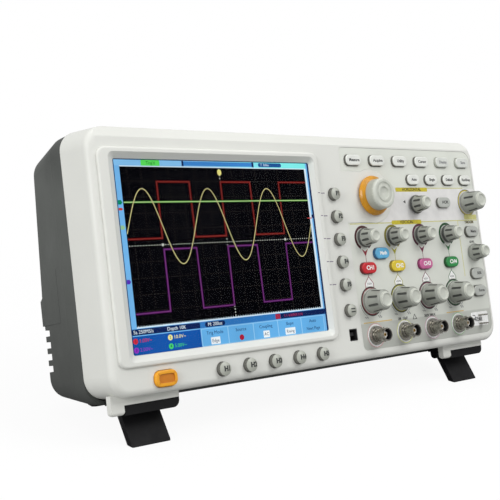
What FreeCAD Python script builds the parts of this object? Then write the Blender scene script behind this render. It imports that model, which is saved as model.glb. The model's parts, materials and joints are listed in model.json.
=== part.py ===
"""Four-channel bench oscilloscope, standing on its two flip-out front legs.

Everything is modelled in the panel frame: +X to the right of the front panel, +Y towards the back,
+Z up the panel, origin at the middle of the front face's bottom edge.  main() then leans each
piece back by LEAN and drops it on the desk, so that in the files +Z is vertical, the desk is z = 0
and the origin is the bottom centre of the whole object's box.  Lengths are in millimetres.
"""
import FreeCAD
import Part
import math
import os

from FreeCAD import Vector

# ---------------------------------------------------------------- driving dimensions
# Front shell
WIDTH, HEIGHT = 370.0, 167.0
BACK_HEIGHT = 171.0
FRONT_DEPTH = 34.0
WALL = 2.5
PANEL_WALL = 3.0
FRONT_CORNER, FRONT_ROUND = 14.0, 4.5
BAND_START, BAND_SETBACK = 160.5, 3.0
LEAN = 16.5

# Rear shell
CREASE_Y, TAPER_Y, REAR_Y = 48.0, 93.5, 102.0
REAR_CORNER = 15.0
TAPER_HALF, TAPER_Z0, TAPER_Z1, TAPER_CORNER = 178.0, 1.0, 166.5, 14.0
BACK_HALF, BACK_Z0, BACK_Z1, BACK_CORNER = 170.5, 9.0, 158.0, 11.0
BELLY_DROP = 3.6
BACK_LEAN, BACK_KNEE_Z = 4.3, 70.0
BROW_PROUD, BROW_Z0, BROW_Z1, BROW_TOP = 3.0, 51.0, 56.0, 86.0
SEAM = 0.2
VENTS, VENT_PITCH, VENT_HEIGHT, VENT_Z, VENT_Y = 4, 8.0, 4.2, 22.0, 85.0
SLOTS, SLOT_PITCH, SLOT_X0, SLOT_Z, SLOT_W, SLOT_H = 37, 7.0, -126.0, 108.0, 3.2, 46.0

# Display: the picture opening, the mouth of its bevel and the raised frame round it, as x0, x1, z0, z1
WINDOW = (-166.8, -4.1, 24.8, 146.8)
WINDOW_MOUTH = (-172.2, -1.8, 20.55, 150.65)
FRAME = (-179.2, 2.2, 17.6, 153.8)
FRAME_RAISE, FRAME_CORNER, FRAME_ROUND = 2.0, 6.0, 1.4
TOUCH = (-174.2, 0.2, 19.1, 152.1)
TOUCH_Y, TOUCH_T, TOUCH_GAP = 2.0, 0.7, 0.2
DISPLAY = (-176.0, 2.0, 18.0, 153.4)
DISPLAY_Y, DISPLAY_T = 3.2, 7.6
EAR_XS, EAR_ZS, EAR_SIZE, EAR_T = (-150.0, -14.0), (16.5, 155.0), (8.0, 6.0), 2.0

# Label sheet over the controls
OVERLAY_X0, OVERLAY_X1 = 27.0, 180.0
OVERLAY_Z0, OVERLAY_Z1 = 6.6, 159.0
OVERLAY_FRONT, OVERLAY_BACK = 0.2, 0.6
OVERLAY_RADII = (4.0, 9.0, 9.0, 3.0)
OVERLAY_FIT = 0.15
BAY_Z0, BAY_Z1, BAY_R = 101.5, 141.0, 21.0

# Keys, knobs and their boards
CHANNEL_X = [41.2 + 32.1 * i for i in range(4)]
RIGHT_COLUMN_X = 168.8
SOFTKEY_X = 15.2
KEY_TRAVEL = 1.0
KEY_GAP = 0.3
KEY_FLANGE, KEY_FLANGE_Y = 1.0, PANEL_WALL + 0.1
KEY_ROUND = 0.9
STEM_R, STEM_BACK = 1.6, PANEL_WALL + 1.7
KNOB_HOLE_R, KNOB_BACK, KNOB_CAP = 4.0, -1.0, 3.0
SHAFT_R, SHAFT_CLEARANCE = 3.0, 0.05
BOARD_Y, BOARD_T = 10.0, 1.6
SWITCH_W, SWITCH_T = 6.0, 3.4
ENCODER_W, ENCODER_T, BUSHING_R, BUSHING_Y = 11.8, 5.4, 3.7, -0.5
MAIN_BOARD_Y = 34.0
SUPPLY_Y = 56.0
PORT_BOARD_Y = 78.0

# Coaxial jacks, with the two bayonet lugs of the standard
BNC_Z, BNC_HOLE_R = 16.6, 6.6
BNC_LUG_Y, BNC_LUG_R, BNC_LUG_REACH = -7.7, 0.95, 0.7
BNC_BARREL_R, BNC_BARREL_Y, BNC_LENGTH = 4.85, -9.05, 12.0
BNC_BORE = 0.8

# Front socket and probe terminals
PORT_X, PORT_Z, PORT_W, PORT_H = 18.0, 19.2, 8.2, 8.8
PROBE_X, PROBE_ZS, PROBE_SLOT = 166.0, (21.2, 14.2), (5.0, 2.0)

# Legs, their lips and brackets, and the rear pads
LEG_CENTRES = (-153.2, 153.2)
LEG_WIDTH, LEG_THICK, LEG_CORNER = 28.4, 4.5, 4.0
LEG_HINGE_Y, LEG_HINGE_Z = 28.4, -6.4
LEG_RAKE, LEG_DROP = 25.0, 30.0
LEG_FOLD = 90.0 + LEG_RAKE
LEG_BARREL_R, LEG_PIN_R, LEG_PIN_REACH = 2.8, 2.0, 3.4
PIN_CLEARANCE = 0.06
LIP_Y, LIP_T, LIP_DROP, LIP_LEFT, LIP_RIGHT = 9.0, 3.0, 4.2, 29.0, 20.4
LIP_EAR_W, LIP_EAR_T, LIP_EAR_ROUND = 9.2, 5.0, 2.2
BAR_LEFT, BAR_DEPTH, BAR_ROUND, FOOT_DROP = 19.6, 7.0, 4.6, 10.4
BRACKET_BACK, BRACKET_SLOT_Y = 33.0, 22.0
CHEEK_T, CHEEK_R, CHEEK_GAP = 3.6, 3.6, 0.3
PAD_X, PAD_Y0, PAD_Y1, PAD_HALF, PAD_TOP, PAD_TOE = 138.0, 94.0, 99.0, 11.0, 8.0, 6.0

# Case screws: heads sunk in tubes of the rear shell, threads in bosses of the front shell
SCREW_X, SCREW_ZS = 165.0, (9.0, 158.5)
SCREW_HEAD_Y, SCREW_HEAD_R, SCREW_HEAD_T, SCREW_R, SCREW_TIP_Y = 48.0, 2.8, 2.2, 1.3, 24.0
CROSS_REACH, CROSS_HALF, CROSS_FLOOR = 1.7, 0.4, 0.9
BOSS_R, BOSS_Y, PILOT_Y = 4.0, 1.0, 22.0
TUBE_R, TUBE_BORE, TUBE_PASS = 5.0, 3.2, 1.7

# Rear sockets
REAR_PORT_Z = 34.0
INLET_X, INLET_HOLE = 118.0, (28.2, 20.6)
LAN_X, LAN_HOLE = -40.0, (17.0, 14.6)
USB_B_X, USB_B_HOLE = -62.0, (13.0, 12.0)
VGA_X, VGA_HOLE = -100.0, (32.0, 13.0)
LOCK_X, LOCK_SLOT = 60.0, (7.0, 3.0)

# Keys: name -> (x, z, width, height, corner radius, how far the crown stands out of the panel)
MENU_KEY = (16.0, 8.2, 3.6, 2.0)
RUN_KEY = (14.4, 8.2, 4.05, 2.0)
TRIGGER_KEY = (16.0, 8.6, 4.15, 2.2)
CHANNEL_KEY = (15.4, 8.4, 4.15, 2.6)
POWER_KEY = (16.2, 10.2, 4.2, 2.4)


def key_table():
    keys = {}
    for i in range(6):
        keys[f"menu_key_{i + 1}"] = (39.5 + 25.7 * i, 149.2) + MENU_KEY
    for i in range(4):
        keys[f"run_key_{i + 1}"] = (104.2 + 21.6 * i, 134.5) + RUN_KEY
    keys["horizontal_menu_key"] = (137.6, 115.8) + TRIGGER_KEY
    for name, z in (("menu", 91.0), ("half", 55.8), ("force", 41.4)):
        keys[f"trigger_{name}_key"] = (RIGHT_COLUMN_X, z) + TRIGGER_KEY
    keys["math_key"] = (57.1, 77.5) + CHANNEL_KEY
    for i, x in enumerate(CHANNEL_X):
        keys[f"channel_{i + 1}_key"] = (x, 67.0) + CHANNEL_KEY
    keys["power_key"] = (-147.5, 8.8) + POWER_KEY
    return keys


# Round keys: radius, how far the dome stands out, and how far its edge lies behind its top
ROUND_KEY_R, ROUND_KEY_OUT, ROUND_KEY_EDGE = 4.5, 4.6, 1.3


def round_key_table():
    keys = {f"side_key_{i + 1}": (SOFTKEY_X, 123.2 - 16.8 * i) for i in range(5)}
    keys["copy_key"] = (SOFTKEY_X + 1.3, 37.1)
    for i in range(5):
        keys[f"bottom_key_{i + 1}"] = (-103.2 + 21.9 * i, 9.1)
    return keys


# Knobs: name -> (x, z, skirt radius, body radius, tip radius, how far the tip stands out)
SMALL_KNOB = (7.4, 6.6, 4.4, 13.7)
LARGE_KNOB = (9.3, 8.6, 5.6, 16.2)
MULTI_KNOB = (15.3, 12.3, 10.8, 13.5)
FLUTES = 8
FLUTE_R, FLUTE_DEPTH = 1.0, 0.75


def knob_table():
    knobs = {
        "multi_knob": (56.3, 121.8) + MULTI_KNOB,
        "horizontal_position_knob": (103.8, 114.6) + SMALL_KNOB,
        "horizontal_scale_knob": (RIGHT_COLUMN_X, 115.6) + LARGE_KNOB,
        "trigger_level_knob": (RIGHT_COLUMN_X, 73.4) + SMALL_KNOB,
    }
    for i, x in enumerate(CHANNEL_X):
        knobs[f"channel_{i + 1}_position_knob"] = (x, 90.0) + SMALL_KNOB
        knobs[f"channel_{i + 1}_scale_knob"] = (x, 42.1) + LARGE_KNOB
    return knobs


# ---------------------------------------------------------------- shape helpers
def box(x0, x1, y0, y1, z0, z1):
    return Part.makeBox(x1 - x0, y1 - y0, z1 - z0, Vector(x0, y0, z0))


def rod(r, x, z, y0, y1):
    """A cylinder along Y."""
    return Part.makeCylinder(r, y1 - y0, Vector(x, y0, z), Vector(0, 1, 0))


def cross_rod(r, x0, x1, y, z):
    """A cylinder along X."""
    return Part.makeCylinder(r, x1 - x0, Vector(x0, y, z), Vector(1, 0, 0))


def outline(x0, x1, z0, z1, y, radii):
    """A closed rounded rectangle at depth y; radii are for the corners x0z0, x1z0, x1z1, x0z1."""
    if not isinstance(radii, (list, tuple)):
        radii = (radii,) * 4
    corners = [(x0, z0, 1, 1), (x1, z0, -1, 1), (x1, z1, -1, -1), (x0, z1, 1, -1)]
    points = []
    for (cx, cz, sx, sz), r in zip(corners, radii):
        along_x = Vector(cx + sx * r, y, cz)
        along_z = Vector(cx, y, cz + sz * r)
        bulge = r * (1 - math.sqrt(0.5))
        middle = Vector(cx + sx * bulge, y, cz + sz * bulge)
        enters_along_z = sx * sz > 0
        first, last = (along_z, along_x) if enters_along_z else (along_x, along_z)
        points.append((first, middle, last))
    edges = []
    for i, (first, middle, last) in enumerate(points):
        edges.append(Part.Arc(first, middle, last).toShape())
        following = points[(i + 1) % 4][0]
        if (following - last).Length > 1e-6:
            edges.append(Part.makeLine(last, following))
    return Part.Wire(edges)


def slab(x0, x1, z0, z1, y0, y1, radii):
    """A rounded rectangle extruded from y0 to y1."""
    return Part.Face(outline(x0, x1, z0, z1, y0, radii)).extrude(Vector(0, y1 - y0, 0))


def pad(x, z, w, h, r, y0, y1):
    """A slab given by its centre and size."""
    return slab(x - w / 2, x + w / 2, z - h / 2, z + h / 2, y0, y1, r)


def taper(*wires):
    return Part.makeLoft(list(wires), True, True)


def yz_prism(points, x0, x1):
    """A polygon of (y, z) points extruded along X."""
    wire = Part.makePolygon([Vector(x0, y, z) for y, z in points + points[:1]])
    return Part.Face(wire).extrude(Vector(x1 - x0, 0, 0))


def turned(points, x, z):
    """Points (radius, y) turned about the Y axis through x, z."""
    wire = Part.makePolygon([Vector(x + r, y, z) for r, y in points + points[:1]])
    return Part.Face(wire).revolve(Vector(x, 0, z), Vector(0, 1, 0), 360)


def edges_at(shape, y, tolerance=1e-4):
    """The edges that lie wholly at depth y."""
    return [
        e for e in shape.Edges
        if abs(e.BoundBox.YMin - y) < tolerance and abs(e.BoundBox.YMax - y) < tolerance
    ]


def group(shapes):
    return Part.makeCompound([s for shape in shapes for s in shape.Solids])


# ---------------------------------------------------------------- front shell and its label sheet
def overlay_sheet(y0, y1, grow=0.0):
    """The grey label sheet, without holes: a rounded sheet with a bay round the big knob."""
    knob_x, knob_z = knob_table()["multi_knob"][:2]
    radii = [r + grow for r in OVERLAY_RADII]
    sheet = slab(OVERLAY_X0 - grow, OVERLAY_X1 + grow, OVERLAY_Z0 - grow, OVERLAY_Z1 + grow,
                 y0, y1, radii)
    bay = box(OVERLAY_X0 - 5, knob_x, y0 - 1, y1 + 1, BAY_Z0 + grow, BAY_Z1 - grow)
    return sheet.cut([bay, rod(BAY_R - grow, knob_x, knob_z, y0 - 1, y1 + 1)])


def panel_holes(y0, y1, extra=0.0):
    """Every hole for a key, a knob shaft, a socket or a terminal."""
    holes = []
    for x, z, w, h, r, _ in key_table().values():
        grow = KEY_GAP + extra
        holes.append(pad(x, z, w + 2 * grow, h + 2 * grow, r + grow, y0, y1))
    for x, z in round_key_table().values():
        holes.append(rod(ROUND_KEY_R + KEY_GAP + extra, x, z, y0, y1))
    for x, z in (k[:2] for k in knob_table().values()):
        holes.append(rod(KNOB_HOLE_R + extra, x, z, y0, y1))
    for x in CHANNEL_X:
        holes.append(rod(BNC_HOLE_R + extra, x, BNC_Z, y0, y1))
    for z in PROBE_ZS:
        slot_w, slot_h = PROBE_SLOT
        holes.append(pad(PROBE_X, z, slot_w + 2 * extra, slot_h + 2 * extra, 0.9, y0, y1))
    return holes


def leg_mouth(x):
    """The lip under the front shell that covers one leg's bracket, with its ear at the left."""
    left = x - LIP_LEFT
    lip = box(left, x + LIP_RIGHT, LIP_Y, LIP_Y + LIP_T, -LIP_DROP, WALL)
    ear = box(left, left + LIP_EAR_W, LIP_Y, LIP_Y + LIP_EAR_T, 0.4 - FOOT_DROP, WALL)
    ear = ear.makeFillet(LIP_EAR_ROUND, [e for e in ear.Edges if e.BoundBox.ZMax < 1 - FOOT_DROP])
    return lip.fuse(ear).removeSplitter()


def brand_band():
    """What is cut away above the band's start so that the band leans back along the top edge."""
    rise = HEIGHT + 0.3 - BAND_START
    back, top = 2 * BAND_SETBACK, BAND_START + 2 * rise
    return yz_prism([(-1.0, BAND_START), (0.0, BAND_START), (back, top), (-1.0, top)], -WIDTH, WIDTH)


def shell_inside():
    half, corner = WIDTH / 2 - WALL, FRONT_CORNER - WALL
    return taper(outline(-half, half, WALL, HEIGHT - WALL, PANEL_WALL, corner),
                 outline(-half, half, WALL, BACK_HEIGHT - WALL, FRONT_DEPTH + 1, corner))


def front_shell():
    half = WIDTH / 2
    body = taper(outline(-half, half, 0, HEIGHT, 0, FRONT_CORNER),
                 outline(-half, half, 0, BACK_HEIGHT, FRONT_DEPTH, FRONT_CORNER))
    body = body.makeFillet(FRONT_ROUND, edges_at(body, 0.0))
    body = body.cut([brand_band(), shell_inside()])

    frame = slab(*FRAME, -FRAME_RAISE, 1.0, FRAME_CORNER)
    frame = frame.makeFillet(FRAME_ROUND, edges_at(frame, -FRAME_RAISE))
    corners = [(sx * SCREW_X, z) for sx in (-1, 1) for z in SCREW_ZS]
    bosses = [rod(BOSS_R, x, z, BOSS_Y, FRONT_DEPTH) for x, z in corners]
    body = body.fuse([frame] + bosses + [leg_mouth(x) for x in LEG_CENTRES])

    window = taper(outline(*WINDOW_MOUTH, -FRAME_RAISE - 0.01, 4.0),
                   outline(*WINDOW, TOUCH_Y + 0.01, 1.2))
    x0, x1, z0, z1 = TOUCH
    gap = TOUCH_GAP
    rebate = slab(x0 - gap, x1 + gap, z0 - gap, z1 + gap, TOUCH_Y, PANEL_WALL + 1, 1.0)
    pilots = [rod(SCREW_R, x, z, PILOT_Y, FRONT_DEPTH + 1) for x, z in corners]
    port = pad(PORT_X, PORT_Z, PORT_W, PORT_H, 0.6, -1, PANEL_WALL + 1)
    pocket = overlay_sheet(-1.0, OVERLAY_BACK, OVERLAY_FIT)
    return body.cut([window, rebate, port, pocket] + pilots + panel_holes(-3.0, PANEL_WALL + 1))


def control_overlay():
    sheet = overlay_sheet(OVERLAY_FRONT, OVERLAY_BACK)
    return sheet.cut(panel_holes(-1.0, 2.0, 0.1))


# ---------------------------------------------------------------- rear shell
def tilted(wire, degrees):
    """A wire leaned towards the front about the level of the knee in the back wall."""
    leaned = wire.copy()
    y = wire.BoundBox.Center.y
    leaned.rotate(Vector(0, y, BACK_KNEE_Z), Vector(1, 0, 0), degrees)
    return leaned


def rear_loft(inset, lean, proud=0.0):
    """The rear shell's outside, shrunk by inset, with its back wall leaned forward at the top."""
    i = inset
    half, low = WIDTH / 2 - i, -BELLY_DROP + i
    seam = FRONT_DEPTH + SEAM - (1.0 if inset else 0.0)
    taper_y, back_y = TAPER_Y + proud - i / 2, REAR_Y + proud - i
    return taper(
        outline(-half, half, low, BACK_HEIGHT - i, seam, REAR_CORNER - i),
        outline(-half, half, low, BACK_HEIGHT - i, CREASE_Y, REAR_CORNER - i),
        tilted(outline(i - TAPER_HALF, TAPER_HALF - i, TAPER_Z0 + i, TAPER_Z1 - i, taper_y,
                       TAPER_CORNER - i), lean),
        tilted(outline(i - BACK_HALF, BACK_HALF - i, BACK_Z0 + i, BACK_Z1 - i, back_y,
                       BACK_CORNER - i), lean))


def rear_volume(inset):
    """The back wall is upright up to its knee and leans forward above it, with a brow over the vents."""
    upright = rear_loft(inset, 0.0)
    fore, aft = CREASE_Y + 12.0, REAR_Y + 18.0
    wedge = yz_prism([(fore, BROW_Z0), (aft, BROW_Z0), (aft, BROW_Z1), (fore, BROW_TOP)], -WIDTH, WIDTH)
    brow = rear_loft(inset, 0.0, BROW_PROUD).common(wedge)
    return upright.common(rear_loft(inset, BACK_LEAN)).fuse(brow).removeSplitter()


def corner_vents():
    """Slots through each rear corner, low down."""
    slots = []
    for side in (-1, 1):
        x0, x1 = sorted((side * (BACK_HALF - 4.5), side * (WIDTH / 2 + 5)))
        for i in range(VENTS):
            z = VENT_Z + VENT_PITCH * i - VENT_HEIGHT / 2
            slots.append(box(x0, x1, VENT_Y, REAR_Y + 1, z, z + VENT_HEIGHT))
    return slots


def rear_grille():
    """Upright slots through the back wall."""
    return [pad(SLOT_X0 + SLOT_PITCH * i, SLOT_Z, SLOT_W, SLOT_H, SLOT_W / 2 - 0.05, TAPER_Y - 8, REAR_Y + 1)
            for i in range(SLOTS)]


def rear_shell():
    outer = rear_volume(0.0)
    body = outer.cut(rear_volume(WALL))
    corners = [(sx * SCREW_X, z) for sx in (-1, 1) for z in SCREW_ZS]
    tubes = [rod(TUBE_R, x, z, FRONT_DEPTH + SEAM, TAPER_Y).common(outer) for x, z in corners]
    body = body.fuse(tubes)
    holes = [rod(TUBE_PASS, x, z, FRONT_DEPTH - 2, SCREW_HEAD_Y + 1) for x, z in corners]
    holes += [rod(TUBE_BORE, x, z, SCREW_HEAD_Y, REAR_Y + 2) for x, z in corners]
    for x, (w, h), r in ((LAN_X, LAN_HOLE, 0.8), (USB_B_X, USB_B_HOLE, 0.8), (VGA_X, VGA_HOLE, 0.8),
                         (INLET_X, INLET_HOLE, 3.0), (LOCK_X, LOCK_SLOT, 1.2)):
        holes.append(pad(x, REAR_PORT_Z, w, h, r, REAR_Y - 6, REAR_Y + 1))
    return body.cut(holes + corner_vents() + rear_grille())


# ---------------------------------------------------------------- display
def touch_panel():
    return slab(*TOUCH, TOUCH_Y, TOUCH_Y + TOUCH_T, 0.8)


def lcd_module():
    """Steel-backed display module with its four fixing ears."""
    body = slab(*DISPLAY, DISPLAY_Y, DISPLAY_Y + DISPLAY_T, 1.5)
    w, h = EAR_SIZE
    front = DISPLAY_Y + DISPLAY_T - 3.0
    ears = [box(x - w / 2, x + w / 2, front, front + EAR_T, z - h / 2, z + h / 2)
            for x in EAR_XS for z in EAR_ZS]
    return body.fuse(ears).removeSplitter()


# ---------------------------------------------------------------- keys and knobs
def key_stem(x, z):
    return rod(STEM_R, x, z, PANEL_WALL + 1.0, STEM_BACK)


def shaped_key(x, z, w, h, r, out, dish=0.0):
    """A key cap with a rounded crown, a flange behind the panel and a stem for its switch."""
    crown = pad(x, z, w, h, r, -out, PANEL_WALL + 0.6)
    crown = crown.makeFillet(KEY_ROUND, edges_at(crown, -out))
    if dish:
        rim = 2.3
        crown = crown.cut(pad(x, z, w - 2 * rim, h - 2 * rim, r - rim + 0.4, -out - 1, -out + dish))
    flange = pad(x, z, w + 2 * KEY_FLANGE, h + 2 * KEY_FLANGE, r + KEY_FLANGE,
                 KEY_FLANGE_Y, KEY_FLANGE_Y + KEY_FLANGE)
    return crown.fuse([flange, key_stem(x, z)]).removeSplitter()


def round_key(x, z):
    """A round key with a domed crown."""
    r, edge = ROUND_KEY_R, ROUND_KEY_EDGE - ROUND_KEY_OUT
    rise = ROUND_KEY_OUT + edge
    ball_r = (r * r + rise * rise) / (2 * rise)
    ball = Part.makeSphere(ball_r, Vector(x, edge + ball_r - rise, z))
    crown = rod(r, x, z, -ROUND_KEY_OUT, PANEL_WALL + 0.6).common(
        ball.fuse(rod(r + 1, x, z, edge + 0.001, PANEL_WALL + 1)))
    flange = rod(r + KEY_FLANGE, x, z, KEY_FLANGE_Y, KEY_FLANGE_Y + KEY_FLANGE)
    return crown.fuse([flange, key_stem(x, z)]).removeSplitter()


def encoder_shaft(x, z, out):
    return rod(SHAFT_R, x, z, KNOB_CAP - out, BOARD_Y - 4.0)


def flute_cutter(start, end):
    """A round-ended groove cutter between two points."""
    run = end - start
    body = Part.makeCylinder(FLUTE_R, run.Length, start, run)
    return body.fuse([Part.makeSphere(FLUTE_R, start), Part.makeSphere(FLUTE_R, end)])


def fluted_knob(x, z, skirt_r, body_r, tip_r, out):
    """A tapered grip with short flutes on a plain skirt, ending in a cupped cap, with its encoder shaft."""
    tip, neck = -out, KNOB_BACK - 2.0
    shoulder_r, shoulder = body_r - 1.1, tip + 2.9
    profile = [(SHAFT_R, KNOB_BACK), (skirt_r - 0.4, KNOB_BACK), (skirt_r, KNOB_BACK - 0.4),
               (skirt_r, neck + 0.5), (skirt_r - 0.4, neck), (body_r, neck - 0.3),
               (shoulder_r, shoulder), (shoulder_r - 0.5, shoulder - 0.7), (tip_r + 0.5, shoulder - 1.2),
               (tip_r, shoulder - 1.3), (tip_r, tip + 0.4), (tip_r - 0.4, tip), (tip_r - 1.0, tip),
               (tip_r - 1.4, tip + 0.5), (tip_r - 1.9, tip + 0.9), (0.0, tip + 1.2),
               (0.0, KNOB_CAP - out), (SHAFT_R, KNOB_CAP - out)]
    knob = turned(profile, x, z)
    lift = FLUTE_R - FLUTE_DEPTH
    cutters = []
    for i in range(FLUTES):
        angle = 2 * math.pi * (i + 0.5) / FLUTES
        across, up = math.cos(angle), math.sin(angle)
        root, top = body_r + lift, shoulder_r + lift + 0.15
        cutters.append(flute_cutter(Vector(x + root * across, neck - 1.6, z + root * up),
                                    Vector(x + top * across, shoulder + 1.5, z + top * up)))
    return group([knob.cut(cutters), encoder_shaft(x, z, out)])


def multi_knob(x, z, skirt_r, body_r, tip_r, out):
    """The big plain knob: an orange skirt ring pressed on a grey cap with a ringed face."""
    tip = -out
    cap = turned([(SHAFT_R, KNOB_BACK), (body_r, KNOB_BACK), (tip_r + 0.7, tip + 1.0), (tip_r, tip + 0.25),
                  (tip_r - 0.6, tip), (tip_r - 2.2, tip), (tip_r - 2.8, tip + 0.8), (6.6, tip + 0.8),
                  (6.1, tip + 0.1), (4.9, tip + 0.1), (4.3, tip + 1.2), (0.0, tip + 1.5),
                  (0.0, KNOB_CAP - out), (SHAFT_R, KNOB_CAP - out)], x, z)
    ring = turned([(body_r - 0.6, KNOB_BACK), (skirt_r - 0.4, KNOB_BACK), (skirt_r, KNOB_BACK - 0.5),
                   (skirt_r, KNOB_BACK - 1.6), (skirt_r - 0.8, KNOB_BACK - 3.0),
                   (skirt_r - 2.4, KNOB_BACK - 4.0), (body_r - 0.6, KNOB_BACK - 4.2)], x, z)
    ring = ring.cut(cap)
    return group([cap, ring, encoder_shaft(x, z, out)])


# ---------------------------------------------------------------- sockets and terminals
def bnc_jack(x):
    """One bayonet jack: shell with two lugs, white insulator and centre socket."""
    r, thread_r, flange_r = BNC_BARREL_R, BNC_HOLE_R - 0.3, BNC_HOLE_R + 0.35
    tip, nut = -BNC_LENGTH, -2.2
    bore, back = r - BNC_BORE, 20.0
    shell = turned([(thread_r, back), (thread_r, OVERLAY_FRONT), (flange_r, OVERLAY_FRONT),
                    (flange_r, nut + 0.3), (flange_r - 0.3, nut), (r + 0.65, nut), (r + 0.4, nut - 1.2),
                    (r - 0.35, nut - 1.3), (r - 0.35, BNC_BARREL_Y), (r, BNC_BARREL_Y), (r, tip),
                    (bore, tip), (bore, -1.0), (2.6, -1.0), (2.6, back)], x, BNC_Z)
    reach = r + BNC_LUG_REACH
    lugs = Part.makeCylinder(BNC_LUG_R, 2 * reach, Vector(x, BNC_LUG_Y, BNC_Z - reach), Vector(0, 0, 1))
    lugs = lugs.cut(rod(r - 0.4, x, BNC_Z, -20, 20))
    shell = shell.fuse(lugs).removeSplitter()
    rim = tip + 3.0
    insulator = turned([(1.1, rim), (2.4, rim), (2.4, -1.0), (2.6, -1.0), (2.6, 26.0), (1.1, 26.0)],
                       x, BNC_Z)
    end = MAIN_BOARD_Y - 0.1
    contact = turned([(0.68, rim - 0.4), (1.1, rim - 0.4), (1.1, end), (0.0, end), (0.0, -4.0), (0.68, -4.0)],
                     x, BNC_Z)
    return [shell, insulator, contact]


def bnc_jacks():
    return group([s for x in CHANNEL_X for s in bnc_jack(x)])


def usb_port():
    """Square data socket with its tongue, set in the panel beside the control block."""
    sheet = 0.6
    w, h = PORT_W - 0.3, PORT_H - 0.3
    shell = pad(PORT_X, PORT_Z, w, h, 0.5, 0.4, BOARD_Y - 0.1)
    shell = shell.cut(pad(PORT_X, PORT_Z, w - 2 * sheet, h - 2 * sheet, 0.3, -1.0, BOARD_Y - 1.0))
    tongue = pad(PORT_X, PORT_Z + 0.6, 4.6, 2.6, 0.4, 2.6, BOARD_Y - 1.0)
    return group([shell, tongue])


def probe_terminals():
    """Two sheet-metal loops for the probe's test signal and its ground."""
    loops = []
    reach, hole_r, hole_y = 6.0, 1.1, -3.9
    for z in PROBE_ZS:
        tab = pad(PROBE_X, z, PROBE_SLOT[0] - 0.4, PROBE_SLOT[1] - 0.8, 0.5, -reach, BOARD_Y - 0.1)
        hole = Part.makeCylinder(hole_r, 4.0, Vector(PROBE_X, hole_y, z - 2.0), Vector(0, 0, 1))
        loops.append(tab.cut(hole))
    return group(loops)


# ---------------------------------------------------------------- boards and supply
def front_board():
    """The key board: an L-shaped board with a switch behind each key and an encoder behind each knob."""
    y0, y1 = BOARD_Y, BOARD_Y + BOARD_T
    left, right, low, high = 5.0, 180.0, 27.0, 161.0
    board = box(left, right, y0, y1, low, high)
    strip = box(-159.0, 28.0, y0, y1, 3.4, 15.4)
    neck = box(left, 28.0, y0, y1, 10.0, low + 3.0)
    boss_relief = box(150.0, right + 10, y0 - 1, y1 + 1, 152.0, high + 9)
    parts = [board.fuse([strip, neck]).removeSplitter().cut(boss_relief)]
    centres = [k[:2] for k in key_table().values()] + list(round_key_table().values())
    pressed = STEM_BACK + KEY_TRAVEL + SHAFT_CLEARANCE
    for x, z in centres:
        switch = pad(x, z, SWITCH_W, SWITCH_W, 0.4, BOARD_Y - SWITCH_T, BOARD_Y)
        parts.append(switch.fuse(rod(STEM_R, x, z, pressed, BOARD_Y - SWITCH_T + 0.4)))
    for x, z, *_ in knob_table().values():
        encoder = pad(x, z, ENCODER_W, ENCODER_W, 0.8, BOARD_Y - ENCODER_T, BOARD_Y)
        encoder = encoder.fuse(rod(BUSHING_R, x, z, BUSHING_Y, BOARD_Y - ENCODER_T + 0.4))
        parts.append(encoder.cut(rod(SHAFT_R + SHAFT_CLEARANCE, x, z, -2.0, BOARD_Y - 3.8)))
    return group(parts)


def main_board():
    """Signal board with its chips and the screening can over the four inputs."""
    y0, y1 = MAIN_BOARD_Y, MAIN_BOARD_Y + BOARD_T
    board = box(-150.0, 172.0, y0, y1, 15.0, 150.0)
    left, right, low, high, height, sheet = 26.0, 150.0, 17.0, 62.0, 12.0, 1.0
    can = box(left, right, y1, y1 + height, low, high)
    can = can.cut(box(left + sheet, right - sheet, y1 - 1, y1 + height - sheet, low + sheet, high - sheet))
    chip_t = 2.2
    chips = [box(x - w / 2, x + w / 2, y1, y1 + chip_t, z - w / 2, z + w / 2)
             for x, z, w in ((-60, 100, 27), (-110, 60, 20), (0, 70, 23), (90, 110, 17), (50, 110, 17))]
    return group([board, can] + chips)


def rear_port_board():
    """Small upright board that carries the network, data and video sockets."""
    face, front, z = REAR_Y - 0.4, PORT_BOARD_Y + BOARD_T, REAR_PORT_Z
    board = box(VGA_X - 22.0, LAN_X + 16.0, PORT_BOARD_Y, front, z - 14.0, z + 16.0)
    gap = 0.6
    lan_w, lan_h = (v - gap for v in LAN_HOLE)
    lan = pad(LAN_X, z, lan_w, lan_h, 0.4, front, face)
    lan = lan.cut(pad(LAN_X, z, lan_w - 4.2, lan_h - 4.6, 0.4, face - 12, face + 1))
    usb_w, usb_h = USB_B_HOLE[0] - 0.8, USB_B_HOLE[1] - 0.8
    usb = pad(USB_B_X, z, usb_w, usb_h, 0.4, front, face)
    usb = usb.cut(pad(USB_B_X, z, usb_w - 3.6, usb_h - 3.3, 0.9, face - 9, face + 1))
    usb = usb.fuse(pad(USB_B_X, z, 5.4, 3.2, 0.3, face - 9, face - 1.0))
    vga_w, vga_h = VGA_HOLE[0] - 1.0, VGA_HOLE[1] - gap
    vga = pad(VGA_X, z, vga_w, vga_h, 0.8, front, face - 3)
    vga = vga.fuse(pad(VGA_X, z, 17.0, 8.4, 2.0, face - 4, face + 2.5))
    vga = vga.cut(pad(VGA_X, z, 15.8, 7.2, 1.6, face - 2, face + 4))
    return group([board, lan, usb.removeSplitter(), vga.removeSplitter()])


def power_supply():
    """Open-frame supply: board, transformer, capacitors and heat sink."""
    front = SUPPLY_Y + BOARD_T
    board = box(80.0, 164.0, SUPPLY_Y, front, 56.0, 148.0)
    transformer = box(100.0, 132.0, front, front + 24.0, 90.0, 122.0)
    sink = box(150.0, 154.0, front, front + 22.0, 64.0, 130.0)
    caps = [rod(r, x, 72.0, front, front + tall) for r, x, tall in ((8.0, 92.0, 26.0), (6.0, 112.0, 20.0),
                                                                    (6.0, 130.0, 20.0))]
    return group([board, transformer, sink] + caps)


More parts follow.
